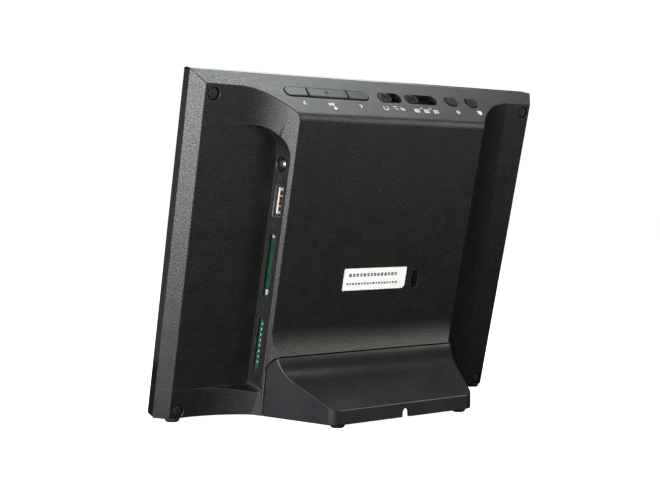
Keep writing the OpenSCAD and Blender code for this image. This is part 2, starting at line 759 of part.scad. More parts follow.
module key(i) {
  k = keys[i];
  on_slope() {
    translate([k[0], key_row, -wall - 1.3]) linear_extrude(wall + 1.3 + key_rise)
      stadium(k[1], key_w, k[2], k[3]);
    // retaining flange along both long sides
    translate([k[0] - k[1] / 2 + 2.2, key_row - key_w / 2 - 0.9, -wall - 1.3])
      cube([k[1] - 4.4, key_w + 1.8, 0.9]);
    translate([key_stem[i], key_row, stem_end]) cylinder(r = 1.3, h = -wall - 1.2 - stem_end, $fn = 32);
  }
}

module plunger(i) {
  on_slope() translate([key_stem[i], key_row, tact_top - 0.6])
    cylinder(r = 0.95, h = stem_end - tact_top + 0.6, $fn = 32);
}

module key_prev() { color([0.2, 0.2, 0.21]) key(0); }
module key_menu() { color([0.2, 0.2, 0.21]) key(1); }
module key_next() { color([0.2, 0.2, 0.21]) key(2); }
module key_power() { color([0.2, 0.2, 0.21]) key(3); }
module key_mode() { color([0.2, 0.2, 0.21]) key(4); }
module plunger_prev() { color([0.15, 0.15, 0.15]) plunger(0); }
module plunger_menu() { color([0.15, 0.15, 0.15]) plunger(1); }
module plunger_next() { color([0.15, 0.15, 0.15]) plunger(2); }
module plunger_power() { color([0.15, 0.15, 0.15]) plunger(3); }
module plunger_mode() { color([0.15, 0.15, 0.15]) plunger(4); }

module slider(left, right, travel) {
  u = left - key_gap - knob_l / 2;
  on_slope() {
    translate([u, key_row, -wall - 0.6]) linear_extrude(wall + 0.6 + key_rise - 0.2) stadium(knob_l, key_w);
    for (r = [-1.5, 0, 1.5]) translate([u + r - 0.3, key_row - 1.9, 0]) cube([0.6, 3.8, key_rise + 0.35]);
    // flange that keeps the knob in its slot
    translate([u - knob_l / 2 - 0.6, key_row - key_w / 2 - 0.7, -wall - 1.1])
      cube([knob_l + 1.2, key_w + 1.4, 0.8]);
    translate([u - 0.8, key_row - 0.9, -wall - 2.9]) cube([1.6, 1.8, 2]);
  }
}

module slider_a() { color([0.2, 0.2, 0.21]) slider(slot_a_l, slot_a_r, slide_a_travel); }
module slider_b() { color([0.2, 0.2, 0.21]) slider(slot_b_l, slot_b_r, slide_b_travel); }

module slider_guides() {
  color([0.08, 0.08, 0.08]) for (s = [[slot_a_l, slot_a_r], [slot_b_l, slot_b_r]]) {
    u = (s[0] + s[1]) / 2;
    l = s[0] - s[1] + (s[1] < -20 ? 0.9 : 1.2);
    difference() {
      on_slope() translate([u - l / 2, key_row - 3.6, -wall - 2]) cube([l, 7.2, 0.6]);
      on_slope() translate([u - l / 2 + 2.2, key_row - 1.25, -wall - 3]) cube([l - 4.4, 2.5, 3]);
    }
  }
}

module key_board() {
  color([0.05, 0.3, 0.16]) on_slope() translate([-55, key_row - 4.4, key_deck - 1.2]) cube([102, 8.8, 1.2]);
}

module tact_switches() {
  color([0.16, 0.16, 0.17]) for (u = key_stem) difference() {
    on_slope() translate([u - 2.3, key_row - 2.3, key_deck]) cube([4.6, 4.6, tact_top - key_deck]);
    on_slope() translate([u, key_row, key_deck + 1]) cylinder(r = 1.05, h = 5, $fn = 32);
  }
}

module slide_switches() {
  color([0.65, 0.66, 0.67]) for (s = [[slot_a_l, slide_a_travel], [slot_b_l, slide_b_travel]]) {
    u = s[0] - key_gap - knob_l / 2 - s[1] / 2;
    l = s[1] + 5;
    difference() {
      on_slope() translate([u - l / 2, key_row - 2.4, key_deck]) cube([l, 4.8, -wall - 2 - key_deck]);
      on_slope() translate([u - s[1] / 2 - 1.1, key_row - 1.15, key_deck + 2]) cube([s[1] + 2.2, 2.3, 5]);
    }
  }
}

module strip(pts, t, w, x) {
  // flat cable along a side-view path [depth, height]
  tilt() rotate([90, 0, 90]) translate([0, 0, x - w / 2]) linear_extrude(w)
    for (i = [0 : len(pts) - 2]) {
      d = (pts[i + 1] - pts[i]) / norm(pts[i + 1] - pts[i]) * t / 2;
      nx = [-d[1], d[0]];
      a = pts[i] - d;
      b = pts[i + 1] + d;
      polygon([a + nx, b + nx, b - nx, a - nx]);
    }
}

module lcd_flex() {
  n0 = lcd_n + lcd_t;
  n1 = board_n - 0.25;
  color([0.75, 0.5, 0.2])
    strip([[n0 + 0.15, 30], [n0 + 1.6, 30.6], [n1 - 0.95, 41], [n1, 42], [n1, 47]], 0.3, 16, -5);
}

module key_ribbon() {
  d = key_row + 3;
  h = key_deck - 1.45;
  n0 = bezel_t + d * cos(top_slope) + h * sin(top_slope);
  v0 = frame_h - d * sin(top_slope) + h * cos(top_slope);
  n1 = board_n - 0.3;
  color([0.85, 0.85, 0.82])
    strip([[n0, v0], [n0 + 0.3, v0 - 3], [n1, board_hi - 1.5], [n1, board_hi - 10]], 0.4, 9, 8);
}

module lock_plate() {
  color([0.75, 0.75, 0.77]) difference() {
    tilt() translate([lock_u - 5, block_in - 1.2, lock_v - 7.5]) cube([10, 1.2, 15]);
    tilt() translate([lock_u - lock_w / 2, block_in - 3, lock_v - lock_h / 2]) cube([lock_w, 10, lock_h]);
  }
}

module label() {
  color([0.9, 0.9, 0.88]) tilt() translate([-17.7, block_depth, 59.85]) cube([label_w, 0.12, label_h]);
}

front_bezel();
lcd_glass();
lcd_frame();
backlight();
lcd_clips();
lcd_screws();
rear_cover();
case_screws();
screw_plugs();
front_feet();
stand_base();
stand_screws();
base_plate();
plate_screws();
rear_feet();
main_board();
board_screws();
board_chips();
board_caps();
card_pads();
dc_jack();
dc_pin();
usb_shell();
usb_tongue();
usb_contacts();
card_socket_a();
card_socket_b();
card_contacts();
key_board();
tact_switches();
slide_switches();
slider_guides();
key_prev();
key_menu();
key_next();
key_power();
key_mode();
plunger_prev();
plunger_menu();
plunger_next();
plunger_power();
plunger_mode();
slider_a();
slider_b();
lcd_flex();
key_ribbon();
lock_plate();
label();
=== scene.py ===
import json
import math
import bmesh
import bpy
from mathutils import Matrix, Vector

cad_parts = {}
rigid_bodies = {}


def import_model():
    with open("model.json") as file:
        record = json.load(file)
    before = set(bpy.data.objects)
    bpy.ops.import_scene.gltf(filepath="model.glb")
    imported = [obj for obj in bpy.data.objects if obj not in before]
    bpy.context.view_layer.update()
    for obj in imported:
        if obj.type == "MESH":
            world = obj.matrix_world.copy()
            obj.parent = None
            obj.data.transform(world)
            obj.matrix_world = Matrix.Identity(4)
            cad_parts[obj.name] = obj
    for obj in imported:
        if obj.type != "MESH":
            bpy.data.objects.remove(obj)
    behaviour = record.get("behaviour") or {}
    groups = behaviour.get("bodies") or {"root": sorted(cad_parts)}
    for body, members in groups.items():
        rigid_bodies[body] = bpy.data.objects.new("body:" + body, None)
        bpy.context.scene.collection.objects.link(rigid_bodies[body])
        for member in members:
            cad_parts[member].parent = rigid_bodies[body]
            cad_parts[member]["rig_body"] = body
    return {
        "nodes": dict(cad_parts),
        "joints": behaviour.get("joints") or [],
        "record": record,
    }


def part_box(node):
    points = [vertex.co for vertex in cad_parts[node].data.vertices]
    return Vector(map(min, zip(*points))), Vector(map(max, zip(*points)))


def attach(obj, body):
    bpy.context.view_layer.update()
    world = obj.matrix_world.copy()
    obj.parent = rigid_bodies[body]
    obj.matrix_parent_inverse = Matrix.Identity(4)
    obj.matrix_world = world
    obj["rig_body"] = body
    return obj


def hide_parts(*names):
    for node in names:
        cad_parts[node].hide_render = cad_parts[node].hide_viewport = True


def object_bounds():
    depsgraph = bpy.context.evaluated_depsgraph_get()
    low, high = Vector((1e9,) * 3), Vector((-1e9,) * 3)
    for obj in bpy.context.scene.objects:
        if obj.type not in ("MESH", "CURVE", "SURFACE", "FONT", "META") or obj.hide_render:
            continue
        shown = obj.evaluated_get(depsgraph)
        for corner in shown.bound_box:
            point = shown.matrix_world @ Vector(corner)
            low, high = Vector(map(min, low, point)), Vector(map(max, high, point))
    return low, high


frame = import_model()
cad_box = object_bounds()
nodes = frame["nodes"]
slot_of = {part["node"]: part["material_slot"] for part in frame["record"]["subparts"]}
scene = bpy.context.scene
MM = 0.001

# ---------------------------------------------------------------- dimensions, in millimetres
LEAN = math.radians(13.8)  # how far the body leans back
FRONT_GAP = 2.75  # height of the front face's lower edge above the desk
FRAME_H = 150  # height of the front face
SLOPE_START = 5  # depth of the key slope's top edge
BACK = 24  # depth of the centre block's flat back
PORT_WALL = 51.1  # distance of the port wall's outer face from the middle
KEY_RISE = 0.45  # how far the keys stand out of the slope

# ---------------------------------------------------------------- places on the object
# the leaning body's own axes: u across, v up the front face, n from the front face to the rear
UP_FACE = Vector((0, math.sin(LEAN), math.cos(LEAN)))
REARWARD = Vector((0, math.cos(LEAN), -math.sin(LEAN)))
FRONT_EDGE = Vector((0, cad_box[0][1], FRONT_GAP * MM))

# the key slope faces against the way its keys press
press = next(joint for joint in frame["joints"] if joint["name"] == "key_menu_press")
SLOPE_OUT = -Vector(press["axis"]).normalized()
SLOPE_DOWN = Vector((0, SLOPE_OUT.z, -SLOPE_OUT.y))


def at(u, v, n):
    """Point of the leaning body, from millimetres along its own axes."""
    return Vector((u * MM, 0, 0)) + FRONT_EDGE + UP_FACE * (v * MM) + REARWARD * (n * MM)


def on_slope(u, down, out):
    """Point of the key slope: across, down from its top edge, and out of its face."""
    top = at(0, FRAME_H, SLOPE_START)
    return top + Vector((u * MM, 0, 0)) + SLOPE_DOWN * (down * MM) + SLOPE_OUT * (out * MM)


def on_port_wall(n, v, out):
    """Point of the wall that holds the ports, out of its face."""
    return at(PORT_WALL + out, v, n)


def on_back(u, v, out):
    """Point of the centre block's flat back, out of its face."""
    return at(u, v, BACK + out)


def face_height(z, n):
    """The v, in millimetres, of a height z in metres at the depth n."""
    return (z / MM - FRONT_GAP + n * math.sin(LEAN)) / math.cos(LEAN)


# ---------------------------------------------------------------- materials
COLOUR_A, COLOUR_B, COLOUR_OUT = 6, 7, 2  # the mix node's sockets for colours
NOISE_MIDDLE = (0.35, 0.65)  # most of the noise lies between these
NOISE_SPREAD = (0.3, 0.7)  # nearly all of it lies between these
EDGE_TURN = 0.86  # how far the rounded and the real normal agree at a full edge
EDGE_PAINT_SHARE = 0.8  # how much of the painted edge colour shows there


class Shader:
    """A material's node tree round one Principled surface."""

    def __init__(self, name):
        self.material = bpy.data.materials.new(name)
        self.material.use_nodes = True
        self.tree = self.material.node_tree
        self.tree.nodes.clear()
        output = self.tree.nodes.new("ShaderNodeOutputMaterial")
        self.surface = self.tree.nodes.new("ShaderNodeBsdfPrincipled")
        self.link(self.surface.outputs[0], output.inputs[0])
        self.place = self.tree.nodes.new("ShaderNodeTexCoord").outputs["Object"]

    def link(self, source, target):
        self.tree.links.new(source, target)

    def feed(self, socket, source):
        """Drives one of the surface's sockets from a node's output."""
        self.link(source, self.surface.inputs[socket])

    def put(self, socket, value):
        """Sets one of the surface's sockets to a uniform value."""
        self.surface.inputs[socket].default_value = value

    def noise(self, size_mm, detail=3.0, rough=0.5, stretch=None):
        """Noise with features of about size_mm, pressed together along an axis by stretch."""
        node = self.tree.nodes.new("ShaderNodeTexNoise")
        node.inputs["Scale"].default_value = 1000.0 / size_mm  # features in a metre
        node.inputs["Detail"].default_value = detail
        node.inputs["Roughness"].default_value = rough
        place = self.place
        if stretch:
            mapping = self.tree.nodes.new("ShaderNodeMapping")
            mapping.inputs["Scale"].default_value = stretch
            self.link(place, mapping.inputs[0])
            place = mapping.outputs[0]
        self.link(place, node.inputs["Vector"])
        return node.outputs["Fac"]

    def span(self, value, start, end, low, high):
        """A value that goes from start to end, mapped to low to high."""
        node = self.tree.nodes.new("ShaderNodeMapRange")
        node.inputs["From Min"].default_value = start
        node.inputs["From Max"].default_value = end
        node.inputs["To Min"].default_value = low
        node.inputs["To Max"].default_value = high
        self.link(value, node.inputs["Value"])
        return node.outputs[0]

    def mix(self, factor, first, second):
        """A colour between two, each of them a tuple or a node's output."""
        node = self.tree.nodes.new("ShaderNodeMix")
        node.data_type = "RGBA"
        self.link(factor, node.inputs["Factor"])
        for socket, colour in ((COLOUR_A, first), (COLOUR_B, second)):
            if isinstance(colour, tuple):
                node.inputs[socket].default_value = (*colour, 1)
            else:
                self.link(colour, node.inputs[socket])
        return node.outputs[COLOUR_OUT]

    def edge(self, radius_mm):
        """High along sharp edges and 0 on flat parts: where a rounded normal leaves the real one."""
        bevel = self.tree.nodes.new("ShaderNodeBevel")
        bevel.samples = 6
        bevel.inputs["Radius"].default_value = radius_mm * MM
        geometry = self.tree.nodes.new("ShaderNodeNewGeometry")
        agreement = self.tree.nodes.new("ShaderNodeVectorMath")
        agreement.operation = "DOT_PRODUCT"
        self.link(bevel.outputs[0], agreement.inputs[0])
        self.link(geometry.outputs["Normal"], agreement.inputs[1])
        return self.span(agreement.outputs["Value"], 1.0, EDGE_TURN, 0.0, EDGE_PAINT_SHARE)

    def bump(self, height, depth_mm, below=None, strength=1.0):
        """A bumped normal, laid over the one below it."""
        node = self.tree.nodes.new("ShaderNodeBump")
        node.inputs["Strength"].default_value = strength
        node.inputs["Distance"].default_value = depth_mm * MM
        self.link(height, node.inputs["Height"])
        if below is not None:
            self.link(below, node.inputs["Normal"])
        return node.outputs[0]


def moulded(name, low, high, rough=(0.4, 0.55), grain=0.5, depth=0.03, specular=0.3, mottle=9.0,
            painted_edge=None, painted_edge_mm=0.35, detail=2.0):
    """Moulded plastic: colour mottled from low to high, spark grain, and a colour painted along the
    edges.

    Grain and mottle are the sizes of their features and depth is the grain's height, all in
    millimetres, and the painted edge colour reaches as far from an edge as its width in millimetres.
    """
    shader = Shader(name)
    colour = shader.mix(shader.span(shader.noise(mottle, 4), *NOISE_MIDDLE, 0.0, 1.0), low, high)
    # the edges get a colour of their own: lighter on the dark plastics as a painted highlight along them,
    # and darker on the label
    if painted_edge:
        colour = shader.mix(shader.edge(painted_edge_mm), colour, painted_edge)
    shader.feed("Base Color", colour)
    fine = shader.noise(grain, detail, 0.6)
    shader.feed("Roughness", shader.span(fine, *NOISE_SPREAD, *rough))
    waves = shader.noise(mottle * 1.7, 2)
    shader.feed("Normal", shader.bump(waves, depth * 0.8, shader.bump(fine, depth), 0.4))
    shader.put("Specular IOR Level", specular)
    return shader.material


def metal(name, low, high, rough=(0.25, 0.4), grain=0.6):
    """Rolled or plated metal: fine streaks from low to high that also catch the light."""
    shader = Shader(name)
    streaks = shader.noise(grain * 6, 5, 0.6, stretch=(1, 1, 14))
    shader.feed("Base Color", shader.mix(shader.span(streaks, *NOISE_MIDDLE, 0.0, 1.0), low, high))
    shader.feed("Roughness", shader.span(shader.noise(grain, 3), *NOISE_SPREAD, *rough))
    shader.feed("Normal", shader.bump(streaks, 0.004))
    shader.put("Metallic", 1.0)
    return shader.material


# the colour given for each plastic's edges is painted along them: a painted highlight on the dark
# plastics, a darker rim on the label
PLASTICS = {
    # outside: the bezel, the rear cover, the stand, the keys, the plugs and the feet
    "gloss_black": dict(low=(0.004, 0.004, 0.005), high=(0.007, 0.007, 0.008), rough=(0.05, 0.09),
                        grain=1.2, depth=0.0006, specular=0.5, mottle=22,
                        painted_edge=(0.03, 0.03, 0.032), painted_edge_mm=0.25),
    "textured_black": dict(low=(0.0040, 0.0040, 0.0036), high=(0.0070, 0.0069, 0.0062),
                           rough=(0.32, 0.54), grain=0.56, depth=0.135, specular=0.47, mottle=7,
                           painted_edge=(0.05, 0.05, 0.05), painted_edge_mm=0.4, detail=3.0),
    "satin_grey": dict(low=(0.009, 0.0095, 0.0105), high=(0.013, 0.0135, 0.0145), rough=(0.26, 0.33),
                       grain=0.45, depth=0.010, specular=0.28, mottle=14,
                       painted_edge=(0.03, 0.03, 0.03), painted_edge_mm=0.4),
    "key_grey": dict(low=(0.008, 0.008, 0.0084), high=(0.014, 0.014, 0.015), rough=(0.28, 0.38),
                     grain=0.3, depth=0.008, specular=0.19, mottle=4,
                     painted_edge=(0.04, 0.04, 0.04), painted_edge_mm=0.25),
    "plug_black": dict(low=(0.009, 0.009, 0.009), high=(0.014, 0.014, 0.013), rough=(0.42, 0.55),
                       grain=0.4, depth=0.02, mottle=3, painted_edge=(0.05, 0.05, 0.05)),
    "foot_rubber": dict(low=(0.010, 0.010, 0.010), high=(0.018, 0.018, 0.018), rough=(0.6, 0.8),
                        depth=0.02, specular=0.2, mottle=2.5, painted_edge=(0.04, 0.04, 0.04)),
    # the label, and the print on it and below the keys
    "label_white": dict(low=(0.84, 0.84, 0.82), high=(0.90, 0.90, 0.88), rough=(0.42, 0.55),
                        grain=0.25, depth=0.006, specular=0.4, mottle=6,
                        painted_edge=(0.70, 0.69, 0.66), painted_edge_mm=0.3),
    "print_white": dict(low=(0.55, 0.56, 0.57), high=(0.72, 0.73, 0.73), rough=(0.45, 0.6),
                        grain=0.2, depth=0.004, mottle=1.0),
    "print_grey": dict(low=(0.10, 0.10, 0.11), high=(0.2, 0.2, 0.21), rough=(0.5, 0.6),
                       grain=0.2, depth=0.003, mottle=0.7),
    # the ports and the switches
    "jack_black": dict(low=(0.006, 0.006, 0.007), high=(0.012, 0.012, 0.013), rough=(0.25, 0.35),
                       grain=0.4, depth=0.006, specular=0.4, mottle=3,
                       painted_edge=(0.05, 0.05, 0.05), painted_edge_mm=0.2),
    "plunger_black": dict(low=(0.01, 0.01, 0.01), high=(0.02, 0.02, 0.02), rough=(0.35, 0.5),
                          grain=0.4, depth=0.01, mottle=2),
    # the tongue is cream plastic, greyed well below white as painted shade for its face that lies in the
    # port's shadow
    "tongue_white": dict(low=(0.40, 0.39, 0.35), high=(0.52, 0.51, 0.46), rough=(0.3, 0.4),
                         grain=0.4, depth=0.006, specular=0.5, mottle=2),
    # inside: the screen, the boards and the flat cables
    "lcd_dark": dict(low=(0.006, 0.007, 0.010), high=(0.010, 0.011, 0.014), rough=(0.16, 0.24),
                     grain=0.22, depth=0.002, specular=0.5, mottle=40),
    "white_diffuser": dict(low=(0.76, 0.76, 0.73), high=(0.86, 0.86, 0.84), rough=(0.5, 0.65),
                           depth=0.01, specular=0.4, mottle=12),
    "board_green": dict(low=(0.008, 0.075, 0.035), high=(0.016, 0.13, 0.055), rough=(0.25, 0.4),
                        depth=0.012, specular=0.5, mottle=2.2),
    "chip_black": dict(low=(0.012, 0.012, 0.013), high=(0.022, 0.022, 0.024), rough=(0.45, 0.6),
                       grain=0.2, depth=0.008, mottle=2),
    "solder_tin": dict(low=(0.42, 0.55, 0.46), high=(0.60, 0.72, 0.63), rough=(0.25, 0.4),
                       grain=0.3, depth=0.006, specular=0.6, mottle=1.5),
    "ribbon_white": dict(low=(0.6, 0.6, 0.57), high=(0.78, 0.78, 0.75), rough=(0.4, 0.5),
                         depth=0.01, mottle=1.2),
    "flex_amber": dict(low=(0.32, 0.13, 0.02), high=(0.5, 0.24, 0.05), rough=(0.25, 0.4),
                       depth=0.01, mottle=1.5),
}
METALS = {
    "tray_steel": dict(low=(0.42, 0.43, 0.44), high=(0.6, 0.61, 0.62)),
    "screw_steel": dict(low=(0.4, 0.4, 0.42), high=(0.6, 0.6, 0.61), rough=(0.2, 0.35), grain=0.3),
    "cap_metal": dict(low=(0.6, 0.6, 0.62), high=(0.8, 0.8, 0.82), rough=(0.2, 0.3), grain=0.3),
    "contact_nickel": dict(low=(0.26, 0.26, 0.25), high=(0.40, 0.40, 0.39), rough=(0.3, 0.45), grain=0.4),
    "contact_gold": dict(low=(0.42, 0.28, 0.08), high=(0.62, 0.44, 0.16), grain=0.3),
}
MATERIALS = {name: moulded(name, **look) for name, look in PLASTICS.items()}
MATERIALS.update({name: metal(name, **look) for name, look in METALS.items()})

for name, node in nodes.items():
    node.data.materials.clear()
    node.data.materials.append(MATERIALS[slot_of[name]])

# ---------------------------------------------------------------- mouldings with rounded edges
WELD = 2e-6  # corners nearer than this, in metres, become one
FLAT = math.radians(0.6)  # faces that meet at less become one
SHARP = math.radians(26)  # edges that turn less stay smooth
NARROWEST = 0.18  # edges of faces narrower than this, in millimetres, stay sharp

# how wide the edges of each visible moulding are rounded, in millimetres
EDGE_WIDTHS = {
    "rear_cover": 0.25, "stand_base": 0.45, "front_bezel": 0.35,
    "key_prev": 0.5, "key_menu": 0.5, "key_next": 0.5, "key_power": 0.45, "key_mode": 0.45,
    "slider_a": 0.2, "slider_b": 0.2, "screw_plugs": 0.2,
}

# a point within each hollow moulding, which tells its outer faces from its inner ones
HOLLOW_MIDDLES = {
    "rear_cover": at(0, FRAME_H / 2, 6),
    "front_bezel": at(0, FRAME_H / 2, 4),
    "stand_base": Vector((0, 6 * MM, 6 * MM)),
}


def face_width(face):
    """About how wide a face is across its longest edge."""
    return face.calc_area() / max(edge.calc_length() for edge in face.edges)


def faces_inward(face, middle):
    """Whether a face of a hollow moulding looks towards its middle."""
    return face.normal.dot(face.calc_center_median() - middle) < 0


def weigh_edges(bm, middle):
    """Marks sharp edges, and gives a bevel weight to those that stand out on the outside."""
    weight = bm.edges.layers.float.new("bevel_weight_edge")
    for face in bm.faces:
        face.smooth = True
    for edge in bm.edges:
        edge.smooth = len(edge.link_faces) != 2 or edge.calc_face_angle(0) < SHARP
        if edge.smooth or not edge.is_convex:
            continue
        if middle is not None and any(faces_inward(face, middle) for face in edge.link_faces):
            continue
        if min(face_width(face) for face in edge.link_faces) > NARROWEST * MM:
            edge[weight] = 1.0


def soften(name, width_mm):
    """A copy of a CAD node with its outer edges rounded, standing for it."""
    mesh = nodes[name].data.copy()
    bm = bmesh.new()
    bm.from_mesh(mesh)
    bmesh.ops.remove_doubles(bm, verts=bm.verts, dist=WELD)
    bmesh.ops.dissolve_limit(bm, angle_limit=FLAT, verts=bm.verts, edges=bm.edges)
    weigh_edges(bm, HOLLOW_MIDDLES.get(name))
    bm.to_mesh(mesh)
    bm.free()
    soft = bpy.data.objects.new(name + "_soft", mesh)
    scene.collection.objects.link(soft)
    bevel = soft.modifiers.new("round", "BEVEL")
    bevel.width = width_mm * MM
    bevel.segments = 2
    bevel.limit_method = "WEIGHT"
    bevel.use_clamp_overlap = False
    bevel.miter_outer = "MITER_ARC"
    normals = soft.modifiers.new("normals", "WEIGHTED_NORMAL")
    normals.mode = "FACE_AREA"
    normals.weight = 90
    normals.keep_sharp = True
    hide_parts(name)
    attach(soft, nodes[name]["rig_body"])


for name, width_mm in EDGE_WIDTHS.items():
    soften(name, width_mm)


# ---------------------------------------------------------------- outlines and meshes
def ring(x, y, radius, sides=20):
    """Outline of a circle, as equal sides."""
    angles = [2 * math.pi * k / sides for k in range(sides)]
    return [(x + radius * math.cos(a), y + radius * math.sin(a)) for a in angles]


def bar(x0, y0, x1, y1, width):
    """Outline of a stroke from one point to another."""
    half = Vector((x1 - x0, y1 - y0)).normalized() * (width / 2)
    return [(x0 - half.y, y0 + half.x), (x1 - half.y, y1 + half.x),
            (x1 + half.y, y1 - half.x), (x0 + half.y, y0 - half.x)]


def box(x, y, width, height):
    """Outline of a rectangle round its middle."""
    left, right, low, high = x - width / 2, x + width / 2, y - height / 2, y + height / 2
    return [(left, low), (right, low), (right, high), (left, high)]


def hollow_box(x, y, width, height, line):
    """Outlines of the four sides of a small rectangular frame."""
    up, across = (height - line) / 2, (width - line) / 2
    return [box(x, y - up, width, line), box(x, y + up, width, line),
            box(x - across, y, line, height - 2 * line), box(x + across, y, line, height - 2 * line)]


def finish_mesh(bm, name):
    """A mesh of what was built, with its faces turned outward."""
    bmesh.ops.recalc_face_normals(bm, faces=bm.faces)
    mesh = bpy.data.meshes.new(name)
    bm.to_mesh(mesh)
    bm.free()
    return mesh


def prisms(name, outlines, low, high, place):
    """One mesh of flat prisms over outlines of (a, b) points; place maps (a, b, height)."""
    bm = bmesh.new()
    for outline in outlines:
        bottom = [bm.verts.new(place(a, b, low)) for a, b in outline]
        top = [bm.verts.new(place(a, b, high)) for a, b in outline]
        bm.faces.new(top)
        bm.faces.new(bottom[::-1])
        for k in range(len(outline)):
            after = (k + 1) % len(outline)
            bm.faces.new((bottom[k], bottom[after], top[after], top[k]))
    return finish_mesh(bm, name)


def lathe(name, profile, place, sides=28):
    """A cap turned from (radius, height) points, open below; place maps (a, b, height)."""
    bm = bmesh.new()
    loops = [[bm.verts.new(place(a, b, height)) for a, b in ring(0, 0, radius, sides)]
             for radius, height in profile]
    for lower, upper in zip(loops, loops[1:]):
        for k in range(sides):
            after = (k + 1) % sides
            bm.faces.new((lower[k], lower[after], upper[after], upper[k]))
    bm.faces.new(loops[-1])
    for face in bm.faces:
        face.smooth = True
    return finish_mesh(bm, name)


def piece(name, mesh, material, body, stands_for=None):
    """A visible piece that moves with a CAD body, and may stand for a CAD node."""
    made = bpy.data.objects.new(name, mesh)
    mesh.materials.append(MATERIALS[material])
    scene.collection.objects.link(made)
    if stands_for:
        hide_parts(stands_for)
    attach(made, body)


# ---------------------------------------------------------------- printed marks below the keys
# generic signs; u goes across the slope and falls to the right as seen from behind, d goes down it
MARK_ROW = 15.9  # how far down the slope the arrows lie
MARK_HALF = 0.9  # half of the arrows' height
ARROW_LINE = 0.42
THIN_LINE = 0.3
PRINT_HEIGHTS = (-0.02, 0.035)  # the print's underside and top, out of the slope's face


def chevron(tip, tail):
    """An open arrow head."""
    return [bar(tail, MARK_ROW - MARK_HALF, tip, MARK_ROW, ARROW_LINE),
            bar(tip, MARK_ROW, tail, MARK_ROW + MARK_HALF, ARROW_LINE)]


def play_sign(tip):
    """A solid arrow head, two upright strokes and a dot below them."""
    arrow = [(tip + 1.2, MARK_ROW - MARK_HALF), (tip, MARK_ROW), (tip + 1.2, MARK_ROW + MARK_HALF)]
    strokes = [box(tip - step, MARK_ROW, 0.4, 2 * MARK_HALF) for step in (0.4, 1.1)]
    return [arrow, *strokes, ring(tip - 1.2, MARK_ROW + 2.2, 0.75)]


def switch_signs():
    """Short strokes below the first slider: a cup, two dashes and a cross."""
    cup = [(3.9, 15.2, 3.9, 17.2), (3.9, 17.2, 1.9, 17.2), (1.9, 15.2, 1.9, 17.2)]
    dashes = [(-1.4, 15.0, -3.4, 15.0), (-2.0, 15.9, -3.6, 16.7)]
    cross = [(-5.0, 15.4, -6.2, 17.2), (-6.2, 15.4, -7.2, 17.2), (-5.2, 16.3, -7.0, 16.3)]
    return [bar(*ends, THIN_LINE) for ends in cup + dashes + cross]


def card_signs():
    """Three small cards below the second slider, with a dash between each two."""
    outlines = []
    for u in (-14.0, -19.4, -24.8):
        outlines += hollow_box(u, 16.7, 2.6, 1.9, 0.38) + [box(u + 0.2, 16.7, 0.7, 0.6)]
    return outlines + [box(u, 15.1, 1.6, THIN_LINE) for u in (-17.0, -22.0)]


def ring_sign(u, d):
    """A ring of eight strokes round a dot, below the first oval key."""
    corners = ring(u, d, 0.85, 8)
    sides = [bar(*start, *end, 0.36) for start, end in zip(corners, corners[1:] + corners[:1])]
    return sides + [ring(u, d, 0.34, 10)]


def house_sign(u):
    """A block with a roof, below the second oval key."""
    return [box(u, 15.4, 2.4, 1.6), [(u + 1.1, 16.2), (u, 17.3), (u - 1.2, 16.2)]]


marks = (chevron(tip=45.4, tail=44.4) + chevron(tip=15.5, tail=16.5) + play_sign(31.4)
         + switch_signs() + card_signs() + ring_sign(-38.0, 16.2) + house_sign(-51.2))
piece("marks_below_keys", prisms("marks", marks, *PRINT_HEIGHTS, on_slope),
      "print_white", "shell")

# ---------------------------------------------------------------- raised dot on the middle key
DOT_PLACE = (31.5, 9.4)  # across and down the slope
DOT_PROFILE = [(0.75, -0.05), (0.7, 0.16), (0.5, 0.27), (0.22, 0.32)]


def on_menu_key(a, b, height):
    """Point round the dot's middle, out of the key's top."""
    return on_slope(DOT_PLACE[0] + a, DOT_PLACE[1] + b, KEY_RISE + height)


piece("menu_key_dot", lathe("menu_key_dot", DOT_PROFILE, on_menu_key), "key_grey", "key_menu")

# ---------------------------------------------------------------- moulded marks beside the ports
FINE_LINE = 0.22
RAISED_HEIGHTS = (-0.05, 0.09)  # the marks' underside and top, out of the wall's face


def inlet_sign():
    """A small frame round a dot, below the power inlet."""
    return hollow_box(16.3, 108.6, 2.2, 1.2, FINE_LINE) + [ring(16.3, 108.6, 0.3, 10)]


def port_sign():
    """A small plug below the memory-stick port, above a line that runs across the wall."""
    plug = hollow_box(16.4, 88.4, 3.2, 1.2, 0.25) + [box(19.2, 88.4, 0.8, 1.4)]
    return plug + [bar(14.6, 87.0, 19.9, 87.0, FINE_LINE)]


def card_column(n, top, pitch, count, dot_shift):
    """A column of small cards down the wall beside a card slot, each with a dot in it."""
    outlines = []
    for k in range(count):
        v = top - k * pitch
        outlines += hollow_box(n, v, 0.9, 2.2, FINE_LINE) + [box(n, v + dot_shift, 0.35, 0.5)]
    return outlines


wall_marks = (port_sign() + card_column(19.55, 81.5, 3.7, 7, 0.1)
              + card_column(18.75, 43.6, 3.8, 6, -0.1) + inlet_sign())
piece("port_wall_marks", prisms("port_wall_marks", wall_marks, *RAISED_HEIGHTS, on_port_wall),
      "satin_grey", "shell")

# ---------------------------------------------------------------- rating label
# a sheet with one cut corner, and rows of generic grey dashes instead of print
LABEL_T = 0.12
CORNER = 0.3  # small cut of three corners
CUT_CORNER = 1.4  # larger cut of the fourth
INK_HEIGHTS = (0.11, 0.135)  # the dashes' underside and top, out of the block's back
UPPER_DASHES = (1.5, 1.2, 1.5, 1.1, 1.5, 1.3, 1.0, 1.4, 1.2, 1.5, 1.3, 1.1, 1.5, 1.2)
LOWER_DASHES = (1.1, 0.8, 1.3, 0.9, 1.2, 0.8, 1.0, 1.2, 0.9, 1.3, 0.8, 1.1, 0.9, 1.2, 1.0, 0.8, 1.1, 1.2)

